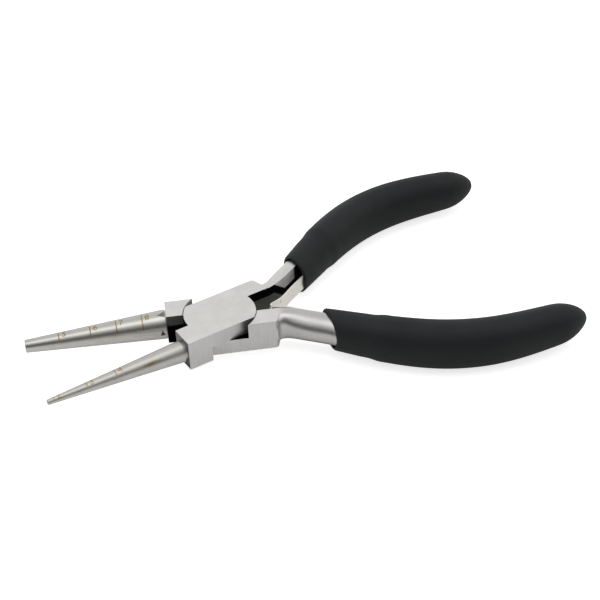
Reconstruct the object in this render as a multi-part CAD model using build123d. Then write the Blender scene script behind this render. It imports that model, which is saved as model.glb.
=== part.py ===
"""Round nose pliers with graduated jaws: lap joint, twin leaf springs, soft sleeves.

Millimetres. The pivot axis is Z, the origin is on it at the flat underside of the joint and
the two handles reach towards +X. The tool is built open, as it rests.
"""
from build123d import *
import os
from math import copysign, cos, radians, sin, sqrt

# ---- driving dimensions -------------------------------------------------------------------
HALF_OPENING = 12.0        # deg each half is turned from the closed position
JOINT_HALF_WIDTH = 8.25    # jaw block, plate and handle block share one width
JOINT_THICK = 10.0
MID_Z = JOINT_THICK / 2    # plane where the two plates lie on each other
PLATE_GAP = 0.04           # oil film between the plates
PLATE_R = 11.05            # plate ends are arcs around the pivot
ARC_GAP = 0.2              # plate end to the block wall that faces it
JAW_INNER = 0.34           # jaw block's inner face, from the centre line
HANDLE_INNER = 1.6         # handle block's inner face, from the centre line
BLOCK_END_OUTER = 16.5     # the handle block ends on a slant
BLOCK_END_INNER = 18.4
EDGE_BREAK = 0.12          # ground edges of the flat top and underside
JAW_EDGE = 0.25            # small break on the jaw block's upright outer edge
END_ROUND = 1.2            # rounding of the handle block's upright outer edge

RIVET_R = 3.0
RIVET_RUN = 0.05           # running clearance in the lower plate
RIVET_HEAD_R = 4.3
RIVET_HEAD_DEPTH = 1.3

CONE_TIP_X = 59.2
CONE_TIP_ROUND = 0.35
CONE_RIM_BREAK = 0.15      # small break on the rim of the cone's base
COLLAR_DROP = 0.35         # the collar between cone and block is this much slimmer in radius
SHANK_LENGTH = 3.6
# block_x is the front face of the cone's block, and base_x is where the full cone stops: between
# them is a groove
LARGE_CONE = dict(block_x=16.25, base_x=16.55, tip_y=1.0, base_y=3.62, tip_r=2.0, base_r=4.55,
                  shank_r=2.6)
SMALL_CONE = dict(block_x=15.45, base_x=16.1, tip_y=2.5, base_y=4.45, tip_r=0.85, base_r=3.34,
                  shank_r=2.0)

# neck between block and sleeve: flat inner face, rounded outer side
# each row: x, y of the flat face, width, half height, squareness (2 is an ellipse), slant in deg
NECK = [(20.3, 1.95, 5.2, 4.92, 2.35, 15), (21.8, 2.4, 5.75, 4.88, 2.05, 10),
        (23.3, 3.0, 6.2, 4.84, 2.0, 6), (24.8, 3.65, 6.55, 4.8, 2.0, 3), (28.5, 5.4, 6.85, 4.75, 2.0, 0),
        (32.5, 7.3, 7.1, 4.7, 2.0, 0), (36.5, 9.2, 7.1, 4.6, 2.0, 0)]
NECK_FLAT = 0.8            # flat strip on top of the neck beside its inner edge
SHOULDER_R = 1.9           # hollow where the neck runs into the block's end
SHOULDER_ROOT = 1.6        # the shoulder starts this deep inside the block
SHOULDER_STEPS = 5

# handle bow, followed by sleeve and core: x, y
BOW = [(22.0, 3.4), (33.0, 9.0), (48.0, 16.7), (63.5, 22.3), (79.0, 23.6), (94.0, 21.1),
       (109.2, 17.6)]
# half sizes of the sleeve: at the mouth, in the middle, at the closed end
SLEEVE_HALF_WIDTH = (5.85, 6.75, 5.1)
SLEEVE_HALF_HEIGHT = (6.6, 7.7, 5.85)
SLEEVE_MOUTH_X = 31.9
# the sleeves were pushed on by hand: deg that the outer side of each mouth sits further back
MOUTH_SLANT_FAR = -1.0
MOUTH_SLANT_NEAR = 12.0
SLEEVE_START_X = 26.0      # the skin is drawn from here and cut off at the mouth
SLEEVE_END_X = 109.2
SLEEVE_CAP = 10.4          # length over which the closed end rounds off
END_BLUNTNESS = 0.58       # 0.5 would be a round end, more is pointed
CAP_STATIONS = (0.18, 0.35, 0.5, 0.62, 0.73, 0.82, 0.89, 0.94)     # shares of the cap's length
SLEEVE_WALL = 1.5
THROAT_WALL = 1.1          # thinner where neck and leaf share the mouth
SLEEVE_CUFF_X = 44.5       # the mouth end is drawn slightly tighter up to here
SLEEVE_CUFF_DROP = 0.3
LIP_ROUND = 0.7
SECTION_PITCH = 4.5        # spacing of the sections along the bow
SKIN_PITCH = 2.3
CORE_START_X = 34.8
CORE_END_X = 103.0
THROAT_OVERLAP = 0.5       # the throat of the sleeve runs this far into the core's hollow

LEAF_THICK = 0.5
LEAF_HALF_WIDTH = 2.35
# centre surface of the far leaf, tip first, in the closed tool's frame
LEAF_PATH = [(15.95, -2.85), (18.0, -2.45), (20.0, -2.1), (21.5, -1.55), (23.3, -0.65),
             (25.2, 0.4), (28.0, 1.8), (31.2, 3.32), (34.0, 4.86), (37.0, 6.6)]
LEAF_CORNER_R = 1.2        # rounded corners at both ends of the strip
LEAF_TAIL = 1.8            # strip beyond the root rivet
LEAF_ROOT_PLAY = 0.35      # room on each side of the root for the leaf to tilt
LEAF_EDGE_ROOM = 0.3       # room beside the strip's edges
LEAF_END_ROOM = 0.4        # room beyond the strip's tail
LEAF_SLOT = 9.0            # slot in the sleeve from the rivet out through the mouth
LEAF_SLOT_DEPTH = 2.5
LEAF_SEAT = 12.0           # length of the flat seat for the root on the handle
LEAF_RIVET_R = 0.8
LEAF_HOLE_R = 1.05
LEAF_RIVET_HEAD_R = 1.5
LEAF_RIVET_HEAD = 0.5
LEAF_RIVET_REACH = 3.5     # depth of the rivet in the handle
RIVET_HEAD_ROOM = 0.1      # room around the rivet's head in the sleeve

TOUCH = 0.01               # places closer than this are the same
BEYOND = 30.0              # cutting blocks reach this far past what they cut


# ---- small helpers ------------------------------------------------------------------------
def block(x0, x1, y0, y1, z0, z1):
    """Box between two corners."""
    return Pos((x0 + x1) / 2, (y0 + y1) / 2, (z0 + z1) / 2) * Box(x1 - x0, y1 - y0, z1 - z0)


def upright(radius, z0, z1):
    """Cylinder on the pivot axis."""
    return Pos(0, 0, (z0 + z1) / 2) * Cylinder(radius, z1 - z0)


def swell(sizes, x):
    """Half size of the sleeve at x: a parabola through mouth, middle and end sizes."""
    mouth, middle, end = sizes
    u = (x - SLEEVE_MOUTH_X) / (SLEEVE_END_X - SLEEVE_MOUTH_X)
    return (mouth * (1 - u) * (1 - 2 * u) + middle * 4 * u * (1 - u) + end * u * (2 * u - 1))


BOW_CURVE = Spline(*[(x, y, MID_Z) for x, y in BOW])


def bow_station(x):
    """Parameter of the bow curve at x."""
    low, high = 0.0, 1.0
    for _ in range(30):
        u = (low + high) / 2
        low, high = (u, high) if (BOW_CURVE @ u).X < x else (low, u)
    return u


def bow_section(x, inset, shrink=1.0):
    """Oval section square to the bow at x, set in by inset from the sleeve's skin."""
    u = bow_station(x)
    heading = BOW_CURVE % u
    plane = Plane(origin=BOW_CURVE @ u, x_dir=(-heading.Y, heading.X, 0), z_dir=heading)
    wide = (swell(SLEEVE_HALF_WIDTH, x) - inset) * shrink
    high = (swell(SLEEVE_HALF_HEIGHT, x) - inset) * shrink
    return plane * Ellipse(wide, high)


def bow_loft(x0, x1, inset):
    """Oval rod along the bow."""
    steps = max(3, round((x1 - x0) / SECTION_PITCH))
    return loft([bow_section(x0 + (x1 - x0) * k / steps, inset) for k in range(steps + 1)])


def sleeve_skin():
    """Outer skin of the sleeve: drawn cuff, swelling body and rounded end."""
    body_end = SLEEVE_END_X - SLEEVE_CAP
    steps = round((body_end - SLEEVE_START_X) / SKIN_PITCH)
    faces = []
    for k in range(steps + 1):
        x = SLEEVE_START_X + (body_end - SLEEVE_START_X) * k / steps
        faces.append(bow_section(x, SLEEVE_CUFF_DROP if x < SLEEVE_CUFF_X else 0.0))
    for u in CAP_STATIONS:
        faces.append(bow_section(body_end + SLEEVE_CAP * u, 0.0, (1 - u**2)**END_BLUNTNESS))
    return loft(faces)


# ---- forged half --------------------------------------------------------------------------
def neck_section(x, y_in, width, half_height, squareness, slant):
    """Neck section: flat inner face, short flats above and below, round outer side."""
    t = radians(slant)
    plane = Plane(origin=(x, y_in, MID_Z), x_dir=(-sin(t), cos(t), 0), z_dir=(cos(t), sin(t), 0))
    reach = width - NECK_FLAT
    side = []
    for angle in range(-90, 91, 18):
        c, s = round(cos(radians(angle)), 9), sin(radians(angle))
        side.append((NECK_FLAT + reach * c**(2 / squareness),
                     half_height * copysign(abs(s)**(2 / squareness), s)))
    outline = Curve() + [
        Line((NECK_FLAT, half_height), (0, half_height)),
        Line((0, half_height), (0, -half_height)),
        Line((0, -half_height), (NECK_FLAT, -half_height)),
        Spline(*side, tangents=((1, 0), (-1, 0))),
    ]
    return plane * make_face(outline)


def neck():
    """Neck from the block's end into the sleeve, with a hollow shoulder at the block."""
    x, y_in, width, half_height, squareness, slant = NECK[0]
    flare = []
    for k in range(SHOULDER_STEPS + 1):
        share = k / SHOULDER_STEPS
        back = SHOULDER_R * (1 - share)
        out = SHOULDER_R - sqrt(SHOULDER_R**2 - back**2)
        y = HANDLE_INNER + (y_in - HANDLE_INNER) * share
        flare.append(neck_section(x - back, y, width + out, half_height, squareness, slant))
    root = neck_section(x - SHOULDER_R - SHOULDER_ROOT, HANDLE_INNER, width + SHOULDER_R,
                        half_height, squareness, slant)
    stub = loft([root, flare[0]], ruled=True)
    return stub + loft(flare) + loft([neck_section(*row) for row in NECK])


def leaf_direction():
    """Unit vector along the leaf at its root, towards the sleeve."""
    (x0, y0), (x1, y1) = LEAF_PATH[-2:]
    size = sqrt((x1 - x0)**2 + (y1 - y0)**2)
    return (x1 - x0) / size, (y1 - y0) / size


def leaf_frame():
    """Plane at the root rivet: local X along the leaf, local Y towards the handle, Z up."""
    ux, uy = leaf_direction()
    return Plane(origin=(*LEAF_PATH[-1], MID_Z), x_dir=(ux, uy, 0), z_dir=(0, 0, 1))


def leaf_pocket():
    """Room for the leaf root, its rivet head and their tilt, cut from core and sleeve."""
    half = LEAF_THICK / 2 + LEAF_ROOT_PLAY
    tail_end = LEAF_TAIL + LEAF_END_ROOM
    edge = LEAF_HALF_WIDTH + LEAF_EDGE_ROOM
    strip = block(-LEAF_SLOT, tail_end, -half, LEAF_SLOT_DEPTH - half, -edge, edge)
    head_room = LEAF_RIVET_HEAD + RIVET_HEAD_ROOM
    head = Pos(0, -half - head_room / 2, 0) * Rot(90, 0, 0) * Cylinder(
        LEAF_RIVET_HEAD_R + RIVET_HEAD_ROOM, head_room)
    return leaf_frame() * (strip + head)


def leaf_seat():
    """All of the handle in front of the flat seat of the leaf's root."""
    half = LEAF_THICK / 2 + LEAF_ROOT_PLAY
    return leaf_frame() * block(-LEAF_SEAT / 2, LEAF_SEAT / 2, half - BEYOND, half, -BEYOND, BEYOND)


def forged_half(rivet_hole_r, cone):
    """Upper half: jaw block at -Y, plate, handle block, neck and the core in the sleeve."""
    w, top, front = JOINT_HALF_WIDTH, JOINT_THICK, -cone["block_x"]
    plate_floor = MID_Z + PLATE_GAP / 2
    plate = upright(PLATE_R, plate_floor, top) & block(-PLATE_R, PLATE_R, -w, w, plate_floor, top)
    jaw = block(front, 0, -w, -JAW_INNER, 0, top)
    handle = extrude(make_face(Polyline(
        (0, HANDLE_INNER), (BLOCK_END_INNER, HANDLE_INNER), (BLOCK_END_OUTER, w), (0, w),
        (0, HANDLE_INNER))), top)
    well = upright(PLATE_R + ARC_GAP, -BEYOND, plate_floor)
    blocks = (jaw + handle) - well
    blocks = chamfer(outer_edge(blocks, front), JAW_EDGE)
    blocks = fillet(outer_edge(blocks, BLOCK_END_OUTER), END_ROUND)
    body = blocks + plate
    body = chamfer(flat_edges(body, top) + flat_edges(body, 0), EDGE_BREAK)

    core = bow_loft(CORE_START_X, CORE_END_X, SLEEVE_WALL)
    body += neck() + core - leaf_seat()

    body -= upright(rivet_hole_r, -BEYOND, BEYOND)
    body -= rivet_head(rivet_hole_r - RIVET_R)
    body -= cone_shank(cone)
    body -= leaf_rivet_shank()
    return body


def outer_edge(blocks, x):
    """The upright edge of the blocks' outer side at x."""
    return [e for e in blocks.edges() if abs(e.center().X - x) < TOUCH
            and abs(abs(e.center().Y) - JOINT_HALF_WIDTH) < TOUCH
            and abs(e.center().Z - MID_Z) < TOUCH]


def flat_edges(body, z):
    """All edges that lie in the plane at height z."""
    return [e for e in body.edges() if all(abs((e @ u).Z - z) < TOUCH for u in (0, 0.5, 1))]


def rivet_head(extra):
    """Countersunk head at the top of the pivot rivet."""
    low = JOINT_THICK - RIVET_HEAD_DEPTH
    return Pos(0, 0, low + RIVET_HEAD_DEPTH / 2) * Cone(RIVET_R + extra, RIVET_HEAD_R + extra,
                                                        RIVET_HEAD_DEPTH)


def cone_shank(cone):
    """Shank of a jaw cone, pressed into its block; the cone's axis lies at -Y here."""
    end_x = SHANK_LENGTH - cone["block_x"]
    axis = cone_axis(cone)
    start = axis @ 0
    reach = (end_x - start.X) / (axis % 0).X
    plane = Plane(origin=start, z_dir=axis % 0)
    return extrude(plane * Circle(cone["shank_r"]), reach)


def cone_ends(cone):
    """Centres of the cone's base and tip."""
    return (Vector(-cone["base_x"], -cone["base_y"], MID_Z),
            Vector(-CONE_TIP_X, -cone["tip_y"], MID_Z))


def cone_axis(cone):
    """Line from the cone's base centre towards the joint."""
    base, tip = cone_ends(cone)
    return Line(base, base + (base - tip).normalized() * SHANK_LENGTH)


def jaw_cone(cone):
    """Tapered round jaw with rounded tip, groove at the base and a shank."""
    base, tip = cone_ends(cone)
    length = (base - tip).length
    profile = Polyline((0, 0), (cone["base_r"] - CONE_RIM_BREAK, 0), (cone["base_r"], CONE_RIM_BREAK),
                       (cone["tip_r"], length), (0, length), (0, 0))
    body = revolve(Plane.XZ * make_face(profile), Axis.Z)
    rim = body.edges().sort_by(Axis.Z)[-1]
    body = fillet(rim, CONE_TIP_ROUND)
    body += Cylinder(cone["base_r"] - COLLAR_DROP, SHANK_LENGTH)
    body = Plane(origin=base, z_dir=tip - base) * body
    body -= block(-cone["block_x"], BEYOND, -BEYOND, BEYOND, -BEYOND, BEYOND)
    return body + cone_shank(cone)


# ---- leaf spring and its rivet --------------------------------------------------------------
def leaf():
    """Bent strip from the free tip to the root under the sleeve."""
    ux, uy = leaf_direction()
    root = LEAF_PATH[-1]
    tail = (root[0] + ux * LEAF_TAIL, root[1] + uy * LEAF_TAIL)
    path = Spline(*[(x, y, MID_Z) for x, y in LEAF_PATH]) + Line((*root, MID_Z), (*tail, MID_Z))
    start = path @ 0
    section = Plane(origin=start, x_dir=(0, 0, 1), z_dir=path % 0) * Rectangle(
        2 * LEAF_HALF_WIDTH, LEAF_THICK)
    strip = sweep(section, path=path)
    ends = [e for e in strip.edges() if abs(e.length - LEAF_THICK) < TOUCH]
    strip = fillet(ends, LEAF_CORNER_R)
    hole = leaf_frame() * Rot(90, 0, 0) * Cylinder(LEAF_HOLE_R, 2 * LEAF_THICK)
    return strip - hole


def leaf_rivet_shank():
    """Rivet shank, square to the leaf, into the handle core."""
    start = -LEAF_THICK / 2 - LEAF_ROOT_PLAY
    return leaf_frame() * Pos(0, (start + LEAF_RIVET_REACH) / 2, 0) * Rot(90, 0, 0) * Cylinder(
        LEAF_RIVET_R, LEAF_RIVET_REACH - start)


def leaf_rivet():
    """Round-headed rivet that holds the leaf's root against the handle."""
    under_head = -LEAF_THICK / 2 - LEAF_ROOT_PLAY
    head = leaf_frame() * Pos(0, under_head - LEAF_RIVET_HEAD / 2, 0) * Rot(90, 0, 0) * Cylinder(
        LEAF_RIVET_HEAD_R, LEAF_RIVET_HEAD)
    return leaf_rivet_shank() + head


# ---- sleeve -----------------------------------------------------------------------------------
def mouth_cut(slant):
    """Everything in front of the slanted mouth plane."""
    plane = Plane(origin=BOW_CURVE @ bow_station(SLEEVE_MOUTH_X),
                  z_dir=(1, 0, 0)).rotated((0, 0, -slant))
    return plane * block(-BEYOND, BEYOND, -BEYOND, BEYOND, -BEYOND, 0)


def sleeve(slant):
    """Soft closed sleeve: cuff, swelling body, rounded end, hollow for the handle."""
    outer = sleeve_skin() - mouth_cut(slant)
    lip = outer.faces().sort_by(Axis.X)[0].edges()
    outer = fillet(lip, LIP_ROUND)
    throat = bow_loft(SLEEVE_START_X, CORE_START_X + THROAT_OVERLAP, THROAT_WALL)
    core = bow_loft(CORE_START_X, CORE_END_X, SLEEVE_WALL)
    return outer - throat - core - neck() - leaf_pocket()


# ---- placing the pieces -------------------------------------------------------------------------
def far_side(shape):
    """Half with the far handle, turned open about the pivot."""
    return Rot(0, 0, HALF_OPENING) * shape


def near_side(shape):
    """The same half turned over about the long axis, then turned open the other way."""
    flipped = Pos(0, 0, MID_Z) * Rot(180, 0, 0) * Pos(0, 0, -MID_Z) * shape
    return Rot(0, 0, -HALF_OPENING) * flipped


def pivot_rivet():
    """Through rivet with a flush countersunk head at each end."""
    head = rivet_head(0)
    other = Pos(0, 0, MID_Z) * Rot(180, 0, 0) * Pos(0, 0, -MID_Z) * head
    return upright(RIVET_R, 0, JOINT_THICK) + head + other


def build():
    strip, root_rivet = leaf(), leaf_rivet()
    return {
        "half_upper": far_side(forged_half(RIVET_R, SMALL_CONE)),
        "half_lower": near_side(forged_half(RIVET_R + RIVET_RUN, LARGE_CONE)),
        "cone_small": far_side(jaw_cone(SMALL_CONE)),
        "cone_large": near_side(jaw_cone(LARGE_CONE)),
        "pivot_rivet": far_side(pivot_rivet()),
        "leaf_far": far_side(strip),
        "leaf_near": near_side(strip),
        "leaf_rivet_far": far_side(root_rivet),
        "leaf_rivet_near": near_side(root_rivet),
        "grip_far": far_side(sleeve(MOUTH_SLANT_FAR)),
        "grip_near": near_side(sleeve(MOUTH_SLANT_NEAR)),
    }


os.makedirs("parts", exist_ok=True)
for node, shape in build().items():
    solids = shape.solids()
    print(node, len(solids), "solid(s), volume", round(sum(s.volume for s in solids), 1))
    export_step(shape, f"parts/{node}.step")
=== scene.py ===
"""Round nose pliers: finishes, etched jaw marks, studio and camera around the CAD frame.

Metres. Places on the two halves and the cones are given for the closed tool. The frame holds the tool
open, with each half turned by OPEN_ANGLE about the pivot.
"""
import bmesh
import bpy
import math
from mathutils import Matrix, Vector
from mathutils.bvhtree import BVHTree


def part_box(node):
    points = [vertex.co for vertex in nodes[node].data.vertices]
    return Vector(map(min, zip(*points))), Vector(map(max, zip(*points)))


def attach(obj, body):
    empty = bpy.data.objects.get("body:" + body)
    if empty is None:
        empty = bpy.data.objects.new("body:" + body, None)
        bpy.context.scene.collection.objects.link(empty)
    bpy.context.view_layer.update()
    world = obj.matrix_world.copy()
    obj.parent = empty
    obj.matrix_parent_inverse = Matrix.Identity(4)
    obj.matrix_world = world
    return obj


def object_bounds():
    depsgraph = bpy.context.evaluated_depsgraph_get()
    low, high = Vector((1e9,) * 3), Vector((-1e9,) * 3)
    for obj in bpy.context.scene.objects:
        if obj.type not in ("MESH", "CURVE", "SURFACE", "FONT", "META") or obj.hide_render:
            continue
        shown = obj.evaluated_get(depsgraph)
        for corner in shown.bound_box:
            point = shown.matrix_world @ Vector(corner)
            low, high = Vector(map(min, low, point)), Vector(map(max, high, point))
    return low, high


MM = 0.001
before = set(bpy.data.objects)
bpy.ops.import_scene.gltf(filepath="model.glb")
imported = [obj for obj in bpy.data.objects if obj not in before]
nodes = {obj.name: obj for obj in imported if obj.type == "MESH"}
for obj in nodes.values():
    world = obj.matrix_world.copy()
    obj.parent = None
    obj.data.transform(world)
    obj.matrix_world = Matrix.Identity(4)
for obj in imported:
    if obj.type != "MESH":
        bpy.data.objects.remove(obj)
cad_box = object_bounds()
OPEN_ANGLE = 12.0            # degrees


def grey(value):
    """A neutral colour."""
    return (value, value, value)


WHITE = grey(1.0)
NOISE_SPREAD = (0.3, 0.7)    # most of a noise's values lie between these


# ---- node helpers ---------------------------------------------------------------------------
COLOUR_A, COLOUR_B, COLOUR_OUT = 6, 7, 2       # the colour sockets of a Mix node


class Nodes:
    """A node tree, with short calls for the nodes used here."""

    def __init__(self, tree):
        self.tree = tree

    def add(self, kind, **settings):
        node = self.tree.nodes.new(kind)
        for key, value in settings.items():
            setattr(node, key, value)
        return node

    def put(self, value, socket):
        """Sets a socket from a number, a colour, a vector or another node's output."""
        if isinstance(value, bpy.types.NodeSocket):
            self.tree.links.new(value, socket)
        elif socket.type == "RGBA":
            socket.default_value = (*value, 1)
        else:
            socket.default_value = value

    def calc(self, operation, a, b=0.0, c=0.0):
        """A Math node's result."""
        node = self.add("ShaderNodeMath", operation=operation)
        for value, socket in zip((a, b, c), node.inputs):
            self.put(value, socket)
        return node.outputs[0]

    def vector_calc(self, operation, a, b):
        """A Vector Math node, which gives a vector or a value by its operation."""
        node = self.add("ShaderNodeVectorMath", operation=operation)
        self.put(a, node.inputs[0])
        self.put(b, node.inputs[1])
        return node.outputs

    def split(self, vector):
        """The X, Y and Z of a vector."""
        node = self.add("ShaderNodeSeparateXYZ")
        self.put(vector, node.inputs[0])
        return node.outputs

    def noise(self, vector, size_mm, detail=3.0, rough=0.55):
        """Noise with features about size_mm wide, from 0 to 1."""
        node = self.add("ShaderNodeTexNoise")
        for key, value in (("Vector", vector), ("Scale", 1 / (size_mm * MM)), ("Detail", detail),
                           ("Roughness", rough)):
            self.put(value, node.inputs[key])
        return node.outputs["Fac"]

    def bump(self, height, depth_mm, strength, normal=None):
        """Normal of a relief of that depth, over another relief where one is given."""
        node = self.add("ShaderNodeBump")
        for key, value in (("Strength", strength), ("Distance", depth_mm * MM), ("Height", height)):
            self.put(value, node.inputs[key])
        if normal is not None:
            self.put(normal, node.inputs["Normal"])
        return node.outputs[0]

    # values and masks
    def between(self, fac, low, high, start=0.0, end=1.0):
        """Value that goes from low to high while fac goes from start to end."""
        node = self.add("ShaderNodeMapRange")
        for key, value in (("Value", fac), ("From Min", start), ("From Max", end), ("To Min", low),
                           ("To Max", high)):
            self.put(value, node.inputs[key])
        return node.outputs[0]

    def rise(self, fac, start, end):
        """Mask that goes from 0 to 1 while fac goes from start to end."""
        return self.between(fac, 0.0, 1.0, start, end)

    def fall(self, fac, start, end):
        """Mask that goes from 1 to 0 while fac goes from start to end."""
        return self.between(fac, 1.0, 0.0, start, end)

    def both(self, a, b):
        """Mask that is 1 where both masks are."""
        return self.calc("MULTIPLY", a, b)

    def either(self, a, b):
        """Mask that is 1 where one of the masks is."""
        return self.calc("MAXIMUM", a, b)

    def without(self, mask):
        """Mask that is 1 where the other is 0."""
        return self.calc("SUBTRACT", 1.0, mask)

    # colours
    def blend(self, kind, fac, a, b):
        """A Mix node's colour."""
        node = self.add("ShaderNodeMix", data_type="RGBA", blend_type=kind)
        for value, key in ((fac, "Factor"), (a, COLOUR_A), (b, COLOUR_B)):
            self.put(value, node.inputs[key])
        return node.outputs[COLOUR_OUT]

    def mix(self, fac, a, b):
        """Colour that goes from a to b while fac goes from 0 to 1."""
        return self.blend("MIX", fac, a, b)

    def times(self, a, b):
        """Product of two colours."""
        return self.blend("MULTIPLY", 1.0, a, b)

    def tint(self, tone, mask, colour):
        """The tone, multiplied by a colour where the mask is 1."""
        return self.times(tone, self.mix(mask, WHITE, colour))


class Shader(Nodes):
    """A material's node tree, with the places and directions of its surface."""

    def __init__(self, name):
        self.material = bpy.data.materials.new(name)
        self.material.use_nodes = True
        super().__init__(self.material.node_tree)
        coordinates = self.add("ShaderNodeTexCoord")
        self.place = coordinates.outputs["Object"]
        self.facing = coordinates.outputs["Normal"]

    def set(self, **sockets):
        """Sets Principled sockets by name, underscores for spaces."""
        principled = self.tree.nodes["Principled BSDF"]
        for key, value in sockets.items():
            self.put(value, principled.inputs[key.replace("_", " ")])

    def turned(self, degrees, stretch=(1, 1, 1), source=None):
        """Places, or a source, turned about Z, then stretched: a large factor means fine grain."""
        turn = self.add("ShaderNodeVectorRotate", rotation_type="Z_AXIS")
        self.put(source or self.place, turn.inputs["Vector"])
        self.put(math.radians(degrees), turn.inputs["Angle"])
        return self.vector_calc("MULTIPLY", turn.outputs[0], stretch)[0]

    def blot(self, turn, centre, stretch, edge, cloud, wobble):
        """Mask of a spot at a point, with a soft edge that a cloud makes uneven."""
        spun = Matrix.Rotation(math.radians(turn), 3, "Z") @ centre
        away = self.vector_calc("DISTANCE", self.turned(turn, stretch), spun * Vector(stretch))["Value"]
        return self.fall(self.calc("MULTIPLY_ADD", cloud, wobble, away), *edge)


def dress(material, *names):
    """Gives CAD nodes a material in place of their plain one."""
    for name in names:
        mesh = nodes[name].data
        mesh.materials.clear()
        mesh.materials.append(material)


# ---- forged halves --------------------------------------------------------------------------
# A pair holds the limits between which a zone's mask changes. It is a length, or how squarely a
# face looks in a direction, where 1 is straight at it and -1 straight away.
JOINT_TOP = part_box("pivot_rivet")[1].z
PLATE_RADIUS = 11.05 * MM                # the plates' round ends
PLATE_GAP = 0.2 * MM                     # from a plate's round end to the wall beside it
UPRIGHT_TILT = (0.25, 0.6)               # a side's look up or down, from upright to tilted
NECK_REACH = (17.7 * MM, 19.7 * MM)      # from the pivot: ground blocks before, polished neck beyond
NECK_UNDERSIDE = (-0.75, -0.3)           # look upwards, from the neck's underside to its sides; painted shade darkens the underside

INWARD = (0.4, 0.7)                      # look at the tool's middle line, on inner faces
SIDE_CHANGE = (-0.1 * MM, 0.1 * MM)      # at the pivot each half crosses to the other side
MIDDLE_WIDTH = (2.3 * MM, 2.6 * MM)      # within it a block's faces are inner ones
NECK_INNER = (20.0 * MM, 20.6 * MM)      # along the tool: beyond it the neck's faces are too
SHADE_TOP = (JOINT_TOP, 5.4 * MM)        # the painted shade's upper edge falls from here to here
SHADE_SLOPE = (20.6 * MM, 25.5 * MM)     # over this length of the neck
SHADE_EDGE = (-0.15 * MM, 0.05 * MM)     # depth below that edge
PALE_SHADE_DEPTH = (6.4 * MM, 2.9 * MM)        # below it the painted shade is paler grey: in the jaws, in the handles
PALE_SHADE_SLOPE = (-5.0 * MM, 5.0 * MM)       # and between them, over this length
PALE_SHADE_EDGE = (0.0, 0.4 * MM)
MOUTH_PAINTED_SHADOW = (30.2 * MM, 31.0 * MM)      # painted shadow: the milled facet darkens into the sleeve's mouth

RIM_BAND = (0.25 * MM, 0.35 * MM)        # half width of the band around the plates' round ends
RIM_OUTWARD = (0.93, 0.97)               # look away from the pivot, on a plate's round end
WALL_INWARD = (-0.97, -0.93)             # and on the wall beside it, which looks at the pivot
SLIDING_LEVEL = (0.1 * MM, 0.2 * MM)     # from the plane in which the plates lie on each other
FRONT_LOOK = (-0.95, -0.85)              # look towards the handles, on the jaw blocks' front faces
FRONT_PLACE = (-15.2 * MM, -15.0 * MM)   # along the tool
FLUX_AND_SHADE_HEIGHT = (1.5 * MM, 7.0 * MM)       # painted shade darkens the front faces, most of all low down, with some solder flux

STEEL_DARK = (0.800, 0.789, 0.770)
STEEL_LIGHT = (0.860, 0.849, 0.830)
STREAK_DARK = grey(0.93)
STREAK_LIGHT = grey(1.04)
GROUND_SIDE_PAINTED_SHADE = grey(0.80)                # painted shade: the cross-ground sides darker than the flat faces
NECK_UNDERSIDE_PAINTED_SHADE = grey(0.40)
WALL_PAINTED_SHADE = grey(0.45)
FLUX_AND_SHADE_DARK = grey(0.08)
FLUX_AND_SHADE_LIGHT = grey(0.40)
# painted shade in the recesses and gaps, partly black forge scale, paler grey low down
SHADE_AND_SCALE_BLACK = grey(0.004)
SHADE_AND_SCALE_GREY = (0.21, 0.22, 0.21)
FACET_TONE = (0.74, 0.74, 0.73)
GROUND_ROUGHNESS = 0.42
NECK_ROUGHNESS = 0.30
FACET_ROUGHNESS = 0.55
SHADE_AND_SCALE_ROUGHNESS = 0.90
FACET_METALLIC = 0.45
NECK_RELIEF = 0.12                       # the neck's grain against the ground faces'


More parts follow.
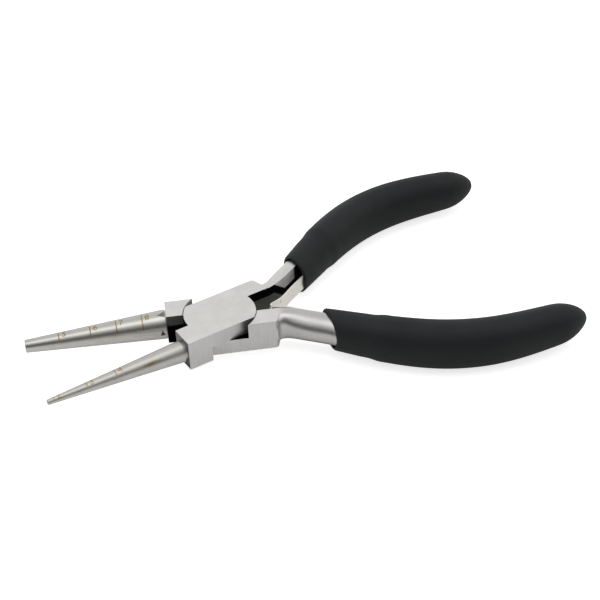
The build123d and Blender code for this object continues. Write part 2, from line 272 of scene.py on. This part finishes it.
class Forging(Shader):
    """The shader of a forged half, with masks for the zones of its surface.

    turn brings the half back to its closed position. side is 1 where the handle lies at +Y, and
    -1 for the half that is turned over.
    """

    def __init__(self, name, turn, side):
        super().__init__(name)
        self.turn, self.side = turn, side
        self.normal = self.split(self.turned(turn, source=self.facing))
        self.at = self.split(self.turned(turn))
        self.along = self.at["X"]
        squares = [self.calc("POWER", self.at[axis], 2.0) for axis in "XY"]
        self.reach = self.calc("SQRT", self.calc("ADD", *squares))
        self.upright = self.fall(self.calc("ABSOLUTE", self.normal["Z"]), *UPRIGHT_TILT)
        self.neck = self.rise(self.reach, *NECK_REACH)
        self.ground = self.both(self.upright, self.without(self.neck))

    def grain(self):
        """Grinding marks: along the tool on flat faces and the neck, upright on the ground sides."""
        lengthwise = self.noise(self.turned(self.turn, stretch=(0.05, 1, 1)), size_mm=0.16, detail=4)
        upright = self.noise(self.turned(self.turn, stretch=(1, 1, 0.035)), size_mm=0.34, detail=4)
        return self.between(self.ground, lengthwise, upright)

    def inner_faces(self):
        """Faces that look at the tool's middle line, in the recesses and on the neck."""
        crossed = self.between(self.along, -1.0, 1.0, *SIDE_CHANGE)
        look = self.calc("MULTIPLY", self.calc("MULTIPLY", self.normal["Y"], crossed), -self.side)
        middle = self.fall(self.calc("ABSOLUTE", self.at["Y"]), *MIDDLE_WIDTH)
        inner_place = self.either(self.rise(self.along, *NECK_INNER), middle)
        return self.both(self.rise(look, *INWARD), inner_place)

    def scale_depth(self):
        """Depth below the painted shade's upper edge. The half that is turned over counts its height down.
        """
        underside = 0.0 if self.side > 0 else JOINT_TOP
        height = self.calc("MULTIPLY_ADD", self.at["Z"], self.side, underside)
        return self.calc("SUBTRACT", self.between(self.along, *SHADE_TOP, *SHADE_SLOPE), height)

    def worn(self, depth):
        """The lower part of the painted shade, painted a paler grey."""
        below = self.calc("SUBTRACT", depth, self.between(self.along, *PALE_SHADE_DEPTH, *PALE_SHADE_SLOPE))
        return self.rise(below, *PALE_SHADE_EDGE)

    def rim_and_wall(self):
        """The plate's round ends, and the round walls beside them."""
        parts = [self.calc("MULTIPLY", self.normal[axis], self.at[axis]) for axis in "XY"]
        outward = self.calc("DIVIDE", self.calc("ADD", *parts), self.reach)
        middle = PLATE_RADIUS + PLATE_GAP / 2
        away = self.calc("ABSOLUTE", self.calc("SUBTRACT", self.reach, middle))
        band = self.fall(away, *RIM_BAND)
        return (self.both(band, self.rise(outward, *RIM_OUTWARD)),
                self.both(band, self.fall(outward, *WALL_INWARD)))

    def sliding_faces(self):
        """Faces on which the two plates slide."""
        away = self.calc("ABSOLUTE", self.calc("SUBTRACT", self.at["Z"], JOINT_TOP / 2))
        return self.both(self.fall(away, *SLIDING_LEVEL), self.without(self.upright))

    def front_faces(self):
        """Front faces of the jaw blocks."""
        return self.both(self.fall(self.normal["X"], *FRONT_LOOK), self.fall(self.along, *FRONT_PLACE))


def forged_steel(name, turn, side, neck_painted_shade):
    """Satin-ground blocks, a smoother polished neck, painted shade in the recesses, partly black forge
    scale.

    neck_painted_shade darkens the neck against the blocks, as painted shade; the two halves are one steel,
    and the lower half's neck gets the most.
    """
    s = Forging(name, turn, side)
    grain = s.grain()
    rim, wall = s.rim_and_wall()

    # inner faces: painted shade, partly forge scale, below a line that falls along the neck, and a milled
    # facet above it
    inner = s.inner_faces()
    depth = s.scale_depth()
    inner_shade = s.both(inner, s.rise(depth, *SHADE_EDGE))
    facet = s.both(inner, s.without(inner_shade))
    # painted shade, partly forge scale, also on the plates' round ends and sliding faces
    shade_and_scale = s.either(inner_shade, s.either(rim, s.sliding_faces()))

    cloud = s.noise(s.place, size_mm=6.0, detail=2)
    tone = s.mix(s.rise(cloud, start=0.35, end=0.65), STEEL_DARK, STEEL_LIGHT)
    tone = s.times(tone, s.mix(s.rise(grain, *NOISE_SPREAD), STREAK_DARK, STREAK_LIGHT))
    # painted shade on the upright ground sides
    tone = s.tint(tone, s.ground, GROUND_SIDE_PAINTED_SHADE)
    # painted shade on the neck, deeper on the lower half
    tone = s.tint(tone, s.neck, grey(neck_painted_shade))
    # painted shade on the neck's underside
    tone = s.tint(tone, s.both(s.neck, s.fall(s.normal["Z"], *NECK_UNDERSIDE)), NECK_UNDERSIDE_PAINTED_SHADE)
    flux_and_shade = s.mix(s.rise(s.at["Z"], *FLUX_AND_SHADE_HEIGHT), FLUX_AND_SHADE_DARK, FLUX_AND_SHADE_LIGHT)
    # painted shade on the jaw blocks' front faces, darkest low down, with some solder flux
    tone = s.tint(tone, s.front_faces(), flux_and_shade)
    # painted shade on the round walls beside the plates' round ends
    tone = s.tint(tone, wall, WALL_PAINTED_SHADE)
    # painted shadow where the facet runs into the sleeve's mouth
    tone = s.mix(facet, tone, s.mix(s.rise(s.along, *MOUTH_PAINTED_SHADOW), FACET_TONE, SHADE_AND_SCALE_BLACK))
    # painted shade: black, and paler grey low on the inner faces
    shade_and_scale_tone = s.mix(s.both(inner, s.worn(depth)), SHADE_AND_SCALE_BLACK, SHADE_AND_SCALE_GREY)
    tone = s.mix(shade_and_scale, tone, shade_and_scale_tone)

    steel_rough = s.between(s.neck, GROUND_ROUGHNESS, NECK_ROUGHNESS)
    rough = s.calc("ADD", steel_rough, s.between(grain, low=-0.05, high=0.05))
    rough = s.calc("MAXIMUM", rough, s.calc("MULTIPLY", facet, FACET_ROUGHNESS))
    rough = s.calc("MAXIMUM", rough, s.calc("MULTIPLY", shade_and_scale, SHADE_AND_SCALE_ROUGHNESS))
    relief = s.calc("MULTIPLY", grain, s.between(s.neck, 1.0, NECK_RELIEF))
    s.set(Base_Color=tone, Metallic=s.between(facet, 1.0, FACET_METALLIC), Roughness=rough,
          Normal=s.bump(relief, depth_mm=0.004, strength=0.55))
    return s.material


# ---- other finishes -------------------------------------------------------------------------
JAW_DARK, JAW_LIGHT = (0.575, 0.560, 0.527), (0.63, 0.617, 0.586)
PIT_SHADE = grey(0.55)
STAIN_TONE = (0.66, 0.54, 0.30)
STAIN = dict(stretch=(0.2, 1, 1), edge=(0.45 * MM, 1.05 * MM), wobble=0.5 * MM)
STRIP_DARK, STRIP_LIGHT = (0.97, 0.93, 0.84), (1.0, 0.98, 0.92)
SCUFF_TONE = (0.62, 0.50, 0.38)
SCUFF = dict(stretch=(1, 1, 0.6), edge=(0.35 * MM, 0.75 * MM), wobble=0.4 * MM)
SCUFF_SHARE = Vector((0.20, 0.128, 0.78))      # the scuff's place in the far leaf's box
RIVET_DARK, RIVET_LIGHT = grey(0.42), (0.58, 0.58, 0.57)
RUBBER_DARK, RUBBER_LIGHT = (0.0084, 0.0110, 0.0117), (0.0108, 0.0136, 0.0144)
# painted shade below and painted light on top of the sleeves
RUBBER_PAINTED_SHADE, RUBBER_PAINTED_LIGHT = grey(0.35), grey(1.30)
OXIDE_GOLD, OXIDE_RUBBED = (0.33, 0.24, 0.10), (0.52, 0.43, 0.26)
OXIDE_LIMITS = (0.42, 0.70)                    # of the noise that rubs the new oxide away
WEAR_SHIFT = 0.2                               # wear of 1 brings the limits down by this
REFLECTION_SPREAD = (0.6, 1.4)                      # darkest and lightest share of a painted reflection's tone


def jaw_steel(name, turn, dullness, stain_at=None):
    """Turned and polished cones, drawn lengthwise with fine cloth; stain_at is a heat stain's middle."""
    s = Shader(name)
    lines = s.noise(s.turned(turn, stretch=(0.03, 1, 1)), size_mm=0.22, detail=4)
    cloud = s.noise(s.place, size_mm=3.0)
    pits = s.rise(s.noise(s.place, size_mm=0.5, detail=2), start=0.70, end=0.76)
    tone = s.mix(s.rise(cloud, *NOISE_SPREAD), JAW_DARK, JAW_LIGHT)
    tone = s.tint(tone, pits, PIT_SHADE)
    if stain_at is not None:
        tone = s.tint(tone, s.blot(turn, stain_at, cloud=cloud, **STAIN), STAIN_TONE)
    rough = s.calc("ADD", dullness, s.between(lines, low=-0.05, high=0.06))
    s.set(Base_Color=tone, Metallic=1.0, Roughness=rough,
          Normal=s.bump(lines, depth_mm=0.003, strength=0.4))
    return s.material


def spring_strip(name, turn, scuff_at=None):
    """Warm nickel on rolled strip, with fine lines across it; scuff_at is a worn brown spot."""
    s = Shader(name)
    lines = s.noise(s.turned(turn, stretch=(1, 1, 0.05)), size_mm=0.22)
    cloud = s.noise(s.place, size_mm=1.6, detail=2)
    tone = s.mix(s.rise(cloud, *NOISE_SPREAD), STRIP_DARK, STRIP_LIGHT)
    if scuff_at is not None:
        tone = s.tint(tone, s.blot(turn, scuff_at, cloud=cloud, **SCUFF), SCUFF_TONE)
    rough = s.calc("ADD", 0.40, s.between(lines, low=-0.05, high=0.05))
    s.set(Base_Color=tone, Metallic=0.8, Roughness=rough,
          Normal=s.bump(lines, depth_mm=0.006, strength=0.6))
    return s.material


def rivet_steel():
    """Plain dull steel."""
    s = Shader("rivet_steel")
    cloud = s.noise(s.place, size_mm=0.5)
    s.set(Base_Color=s.mix(cloud, RIVET_DARK, RIVET_LIGHT), Metallic=1.0, Roughness=0.45,
          Normal=s.bump(cloud, depth_mm=0.01, strength=0.5))
    return s.material


def sleeve_rubber():
    """Matt charcoal dip: a fine pebble, slow waves, faint handling marks, painted light on top and painted
    shade below.
    """
    s = Shader("sleeve_rubber")
    pebble = s.noise(s.place, size_mm=0.28, detail=4, rough=0.6)
    waves = s.noise(s.place, size_mm=7.0, detail=2)
    rubbed = s.noise(s.place, size_mm=14.0, rough=0.6)
    # painted light on top of the sleeves, painted shade underneath
    painted_top_light = s.rise(s.split(s.facing)["Z"], start=-0.6, end=0.9)
    tone = s.mix(s.rise(rubbed, start=0.35, end=0.7), RUBBER_DARK, RUBBER_LIGHT)
    tone = s.times(tone, s.mix(painted_top_light, RUBBER_PAINTED_SHADE, RUBBER_PAINTED_LIGHT))
    handled = s.between(rubbed, 0.62, 0.54, *NOISE_SPREAD)
    rough = s.calc("ADD", handled, s.between(pebble, low=-0.04, high=0.04))
    surface = s.bump(waves, depth_mm=0.25, strength=0.5)
    s.set(Base_Color=tone, Metallic=0.0, Roughness=rough, Specular_IOR_Level=0.31,
          Normal=s.bump(pebble, depth_mm=0.012, strength=0.5, normal=surface))
    return s.material


def etching_oxide(name, wear):
    """Golden laser oxide, uneven and rubbed away in spots; wear is 0 when new."""
    s = Shader(name)
    cloud = s.noise(s.place, size_mm=0.35)
    rubbed = s.rise(cloud, *(limit - WEAR_SHIFT * wear for limit in OXIDE_LIMITS))
    s.set(Base_Color=s.mix(rubbed, OXIDE_GOLD, OXIDE_RUBBED), Metallic=1.0, Roughness=0.38,
          Normal=s.bump(cloud, depth_mm=0.004, strength=0.4))
    return s.material


def stake_oxide(name, shade):
    """Painted reflection of the jaw block's dark front face, at a jaw's base."""
    s = Shader(name)
    cloud = s.noise(s.place, size_mm=0.4)
    dark, light = (grey(share * shade) for share in REFLECTION_SPREAD)
    s.set(Base_Color=s.mix(cloud, dark, light), Metallic=0.6, Roughness=0.55,
          Normal=s.bump(cloud, depth_mm=0.01, strength=0.5))
    return s.material


# the halves are one steel; the lower half's neck is painted darker, as painted shade
dress(forged_steel("forged_steel_upper", -OPEN_ANGLE, 1, neck_painted_shade=0.95), "half_upper", "pivot_rivet")
dress(forged_steel("forged_steel_lower", OPEN_ANGLE, -1, neck_painted_shade=0.72), "half_lower")
leaf_low, leaf_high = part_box("leaf_far")
scuff = leaf_low + SCUFF_SHARE * (leaf_high - leaf_low)
dress(spring_strip("spring_strip_far", -OPEN_ANGLE, scuff), "leaf_far")
dress(spring_strip("spring_strip_near", OPEN_ANGLE), "leaf_near")
dress(rivet_steel(), "leaf_rivet_far", "leaf_rivet_near")
dress(sleeve_rubber(), "grip_far", "grip_near")


# ---- etched rings and numbers on the jaws -----------------------------------------------------
# number: its ring's distance from the pivot along the closed tool in mm, and the angle in degrees
# from the top of the cone, towards the near side, at which the ring ends
RINGS = {
    "cone_large": {5: (48.9, 47), 6: (39.4, 50), 7: (31.5, 57), 8: (23.6, 65)},
    "cone_small": {2: (57.2, 42), 3: (46.8, 42), 4: (37.7, 44)},
}
RING_START = -12             # degrees
RING_WIDTH = 0.40 * MM
RING_STEPS = 48
NUMBER_HEIGHT = 2.05 * MM
CAPITAL_SHARE = 0.72         # height of a figure in the built-in font at size 1
NUMBER_STROKE = 0.045 * MM   # added to each side of a figure's strokes
NUMBER_WELD = 0.010 * MM     # points of a figure that are closer than this become one
NUMBER_STRAIGHT = 0.5        # degrees; a point where an edge turns by less is left out
NUMBER_SLICES = 14           # strips that let a figure bend round the cone
NUMBER_OFFSET = 1.6 * MM     # number's centre from its ring, towards the joint
NUMBER_ANGLE = 9             # degrees
MARK_SKIN = 0.05 * MM        # thickness of a mark, half of it in the steel
AXIS_SLICES = (0.25, 0.65)   # shares of a cone's length at which its axis is found
OUTSIDE = 30 * MM            # start of the rays that find a cone's surface
# painted reflections of the jaw block's dark front face at the base of the large cone, as corners: distance
# from the pivot and angle
BLOCK_REFLECTION_TOP = ((19.0, 11), (16.8, -3), (16.8, 24))
BLOCK_REFLECTION_SIDE = ((18.0, 76), (18.7, 101), (17.1, 100))
REFLECTION_ROWS = 8
STAIN_AT = (26.7, 53)        # heat stain on the small cone: distance and angle


class Cone:
    """A jaw cone's axis, found from its mesh, and points on its surface."""

    def __init__(self, name, turn):
        self.mesh = bmesh.new()
        self.mesh.from_mesh(nodes[name].data)
        self.tree = BVHTree.FromBMesh(self.mesh)
        low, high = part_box(name)
        self.middle_z = (low.z + high.z) / 2
        near_tip, near_base = (self.slice_centre(low.x + share * (high.x - low.x)) for share in AXIS_SLICES)
        self.heading = (near_base - near_tip).normalized()
        self.through = near_tip
        self.along = Matrix.Rotation(math.radians(-turn), 3, "Z") @ Vector((-1, 0, 0))

    def slice_centre(self, x):
        """Middle of the cone's outline in the plane at x."""
        cut = self.mesh.copy()
        everything = cut.verts[:] + cut.edges[:] + cut.faces[:]
        found = bmesh.ops.bisect_plane(cut, geom=everything, plane_co=(x, 0, 0), plane_no=(1, 0, 0))
        ys = [v.co.y for v in found["geom_cut"] if isinstance(v, bmesh.types.BMVert)]
        centre = Vector((x, (min(ys) + max(ys)) / 2, self.middle_z))
        cut.free()
        return centre

    def surface(self, distance, angle):
        """Point at a distance from the pivot along the closed tool, and an angle from the top."""
        step = (distance - self.through.dot(self.along)) / self.heading.dot(self.along)
        axis_point = self.through + self.heading * step
        sideways = Vector((0, 0, 1)).cross(self.heading)
        out = Vector((0, 0, math.cos(angle))) - sideways * math.sin(angle)
        return self.tree.ray_cast(axis_point + out * OUTSIDE, -out)[0]

    def radius(self, distance):
        """The cone's radius at a distance from the pivot, measured at the top."""
        return self.surface(distance, 0).z - self.middle_z


def ring_mark(mesh, cone, distance, stop):
    """A narrow band part of the way round the cone."""
    last = None
    for k in range(RING_STEPS + 1):
        angle = math.radians(RING_START + (stop - RING_START) * k / RING_STEPS)
        pair = [mesh.verts.new(cone.surface(distance + side * RING_WIDTH / 2, angle)) for side in (-1, 1)]
        if last:
            mesh.faces.new((last[0], pair[0], pair[1], last[1]))
        last = pair


def flat_figure(number):
    """A printed figure as a flat mesh about the origin, in triangles, cut into low strips."""
    curve = bpy.data.curves.new("figure", "FONT")
    curve.body = str(number)
    curve.align_x, curve.align_y = "CENTER", "CENTER"
    curve.size = NUMBER_HEIGHT / CAPITAL_SHARE
    curve.offset = NUMBER_STROKE
    text = bpy.data.objects.new("figure", curve)
    bpy.context.scene.collection.objects.link(text)
    bpy.context.view_layer.update()
    flat = bpy.data.meshes.new_from_object(text)
    bpy.data.objects.remove(text)
    figure = bmesh.new()
    figure.from_mesh(flat)
    bpy.data.meshes.remove(flat)
    bmesh.ops.remove_doubles(figure, verts=figure.verts, dist=NUMBER_WELD)
    bmesh.ops.dissolve_limit(figure, angle_limit=math.radians(NUMBER_STRAIGHT), verts=figure.verts,
                             edges=figure.edges)
    for k in range(1, NUMBER_SLICES):
        height = NUMBER_HEIGHT * (k / NUMBER_SLICES - 0.5)
        bmesh.ops.bisect_plane(figure, geom=figure.verts[:] + figure.edges[:] + figure.faces[:],
                               plane_co=(0, height, 0), plane_no=(0, 1, 0))
    bmesh.ops.remove_doubles(figure, verts=figure.verts, dist=NUMBER_WELD)
    bmesh.ops.triangulate(figure, faces=figure.faces)
    return figure


def number_mark(mesh, cone, number, distance):
    """A printed figure wrapped round the cone."""
    figure = flat_figure(number)
    centre = distance - NUMBER_OFFSET
    radius = cone.radius(centre)
    made = {}
    for v in figure.verts:
        angle = math.radians(NUMBER_ANGLE) - v.co.y / radius
        made[v] = mesh.verts.new(cone.surface(centre - v.co.x, angle))
    for face in figure.faces:
        mesh.faces.new([made[v] for v in face.verts])
    figure.free()


def stake_mark(mesh, cone, corners):
    """A small triangle on the cone, in rows of narrow faces so that it follows the surface."""
    (d0, a0), (d1, a1), (d2, a2) = corners
    grid = []
    for i in range(REFLECTION_ROWS + 1):
        row = []
        for j in range(i + 1):
            u, v = i / REFLECTION_ROWS, j / REFLECTION_ROWS
            distance = d0 + (d1 - d0) * u + (d2 - d1) * v
            angle = a0 + (a1 - a0) * u + (a2 - a1) * v
            row.append(mesh.verts.new(cone.surface(distance * MM, math.radians(angle))))
        grid.append(row)
    for upper, lower in zip(grid, grid[1:]):
        for j in range(len(upper)):
            mesh.faces.new((upper[j], lower[j], lower[j + 1]))
            if j:
                mesh.faces.new((upper[j - 1], lower[j], upper[j]))


def lay_on(name, mesh, body, material):
    """Turns a mesh of surface patches into a thin piece that rides on a body."""
    bmesh.ops.recalc_face_normals(mesh, faces=mesh.faces)
    data = bpy.data.meshes.new(name)
    mesh.to_mesh(data)
    mesh.free()
    data.materials.append(material)
    piece = bpy.data.objects.new(name, data)
    bpy.context.scene.collection.objects.link(piece)
    skin = piece.modifiers.new("skin", "SOLIDIFY")
    skin.thickness = MARK_SKIN
    skin.offset = 0
    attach(piece, body)


def etch(node, cone, body, material):
    """All rings and numbers of a cone, as one piece."""
    mesh = bmesh.new()
    for number, (distance, stop) in RINGS[node].items():
        ring_mark(mesh, cone, distance * MM, stop)
        number_mark(mesh, cone, number, distance * MM)
    lay_on("etching_" + node, mesh, body, material)


def stake(name, corners, material):
    """A painted reflection of the jaw block's dark front face, on the large cone."""
    mesh = bmesh.new()
    stake_mark(mesh, large, corners)
    lay_on(name, mesh, "lower_half", material)


large = Cone("cone_large", OPEN_ANGLE)
small = Cone("cone_small", -OPEN_ANGLE)
stain = small.surface(STAIN_AT[0] * MM, math.radians(STAIN_AT[1]))
dress(jaw_steel("jaw_steel_large", OPEN_ANGLE, dullness=0.28), "cone_large")
dress(jaw_steel("jaw_steel_small", -OPEN_ANGLE, dullness=0.40, stain_at=stain), "cone_small")
etch("cone_large", large, "lower_half", etching_oxide("etching_oxide", wear=0.0))
etch("cone_small", small, "upper_half", etching_oxide("etching_oxide_worn", wear=0.6))
# painted reflections of the jaw block's front face, as dark patches on the large cone
stake("block_reflection_top", BLOCK_REFLECTION_TOP, stake_oxide("block_reflection_pale", shade=0.21))
stake("block_reflection_side", BLOCK_REFLECTION_SIDE, stake_oxide("block_reflection_dark", shade=0.06))


# ---- studio -----------------------------------------------------------------------------------
FLOOR_SIZE = 30.0
FLOOR_DROP = 0.02 * MM       # below the tool, so that the two don't share a plane
CAMERA_AZIMUTH = -18.75      # degrees
CAMERA_ELEVATION = 37.23
CAMERA_ROLL = -2.85
CAMERA_DISTANCE = 0.4724
CAMERA_AIM = (0.02648, 0.0019, 0.005)
CAMERA_LENS = 91.5           # mm, as is the sensor
CAMERA_SENSOR = 36
LIGHT_PLACE = (0.03, -0.04, 0.8)
LIGHT_SIZE = 0.5
LIGHT_POWER = 0.25
# the room's brightness from the viewer's horizon at 0, over the top at 0.5, to the far horizon at 1
ROOM = {0.0: 0.42, 0.07: 0.20, 0.15: 0.06, 0.23: 0.20, 0.33: 0.60, 0.42: 1.14, 0.50: 1.16,
        0.57: 0.80, 0.68: 0.72, 0.80: 0.78, 1.0: 0.78}


def make_floor(name, drop, colour, glow):
    """A plain sheet under the middle of the tool."""
    low, high = cad_box
    mesh = bpy.data.meshes.new(name)
    half = FLOOR_SIZE / 2
    corners = [(-half, -half, 0), (half, -half, 0), (half, half, 0), (-half, half, 0)]
    mesh.from_pydata(corners, [], [(0, 1, 2, 3)])
    floor = bpy.data.objects.new(name, mesh)
    floor.location = ((low.x + high.x) / 2, (low.y + high.y) / 2, low.z - drop)
    bpy.context.scene.collection.objects.link(floor)
    s = Shader(name)
    s.set(Base_Color=grey(colour), Roughness=0.9, Specular_IOR_Level=0.1,
          Emission_Color=WHITE, Emission_Strength=glow)
    mesh.materials.append(s.material)
    return floor


def make_floors():
    """A bright sheet that is seen, and a duller one that the steel reflects."""
    seen = make_floor("floor", FLOOR_DROP, colour=0.80, glow=0.75)
    seen.visible_diffuse = seen.visible_glossy = seen.visible_shadow = False
    mirrored = make_floor("floor_bounce", 2 * FLOOR_DROP, colour=0.76, glow=0.18)
    mirrored.visible_camera = False


def camera_axes():
    """Right, up and back of the camera."""
    a, e, r = (math.radians(v) for v in (CAMERA_AZIMUTH, CAMERA_ELEVATION, CAMERA_ROLL))
    back = Vector((math.sin(a) * math.cos(e), -math.cos(a) * math.cos(e), math.sin(e)))
    right = Vector((math.cos(a), math.sin(a), 0))
    up = back.cross(right)
    return (right * math.cos(r) + up * math.sin(r), up * math.cos(r) - right * math.sin(r), back)


def make_camera():
    """The camera, turned about its aim by azimuth, elevation and roll."""
    data = bpy.data.cameras.new("camera")
    data.lens = CAMERA_LENS
    data.sensor_width = CAMERA_SENSOR
    data.clip_start = 10 * MM
    camera = bpy.data.objects.new("camera", data)
    right, up, back = camera_axes()
    place = Matrix((right, up, back)).transposed().to_4x4()
    place.translation = Vector(CAMERA_AIM) + back * CAMERA_DISTANCE
    camera.matrix_world = place
    bpy.context.scene.collection.objects.link(camera)
    bpy.context.scene.camera = camera


def make_world():
    """Bright room overhead and behind, dimmer on the viewer's side."""
    world = bpy.data.worlds.new("studio")
    world.use_nodes = True
    bpy.context.scene.world = world
    n = Nodes(world.node_tree)
    where = n.add("ShaderNodeTexCoord").outputs["Generated"]
    a = math.radians(CAMERA_AZIMUTH)
    towards = n.vector_calc("DOT_PRODUCT", where, (math.sin(a), -math.cos(a), 0))["Value"]
    angle = n.calc("ARCTAN2", n.split(where)["Z"], towards)
    ramp = n.add("ShaderNodeValToRGB")
    n.put(n.calc("DIVIDE", angle, math.pi), ramp.inputs[0])
    stops = ramp.color_ramp.elements           # a new ramp has two
    for k, (position, value) in enumerate(ROOM.items()):
        stop = stops[k] if k < 2 else stops.new(position)
        stop.position = position
        stop.color = (*grey(value), 1)
    n.put(ramp.outputs["Color"], n.tree.nodes["Background"].inputs["Color"])


def make_light(name, place, aim, size, power):
    """A round soft light."""
    data = bpy.data.lights.new(name, "AREA")
    data.shape = "DISK"
    data.size = size
    data.energy = power
    light = bpy.data.objects.new(name, data)
    light.location = place
    light.rotation_euler = (Vector(aim) - Vector(place)).to_track_quat("-Z", "Y").to_euler()
    bpy.context.scene.collection.objects.link(light)


make_floors()
make_camera()
make_world()
make_light("overhead", LIGHT_PLACE, CAMERA_AIM, LIGHT_SIZE, LIGHT_POWER)
bpy.context.scene.view_settings.view_transform = "Standard"
